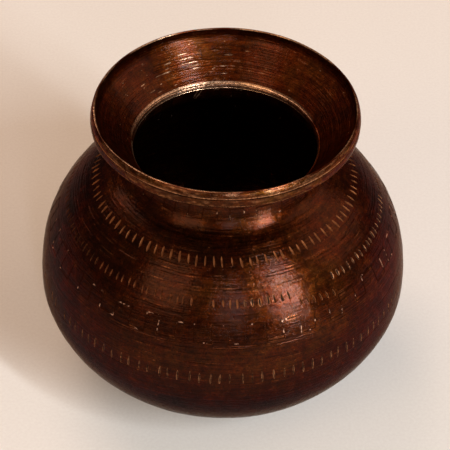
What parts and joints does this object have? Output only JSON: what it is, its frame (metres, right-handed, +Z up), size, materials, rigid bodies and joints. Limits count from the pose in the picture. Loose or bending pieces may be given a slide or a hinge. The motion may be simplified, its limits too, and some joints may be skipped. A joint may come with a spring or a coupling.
{
  "type": "water pot",
  "caption": "Round-bellied raised copper water pot with a toothed belly seam, narrow throat, flared neck and rounded hoop at the mouth.",
  "frame": {"origin": "centre of the flat base, on the surface that the pot stands on", "axes": "+Z up along the pot's own axis; -Y towards the front that the picture shows"},
  "size_m": [0.23, 0.23, 0.205],
  "materials": {
    "copper": null,
    "hoop_copper": "copper strip, brown patina with greenish traces, rubbed bright along the lip",
    "spelter": "tarnished brass spelter, rough from the hearth"
  },
  "bodies": {
    "root": {"lower_bowl": "copper", "shoulder_dome": "copper", "neck_funnel": "copper", "rim_hoop": "hoop_copper", "belly_seam_braze": "spelter", "neck_seam_braze": "spelter", "rim_braze": "spelter", "hoop_lap_braze": "spelter"}
  },
  "joints": []
}
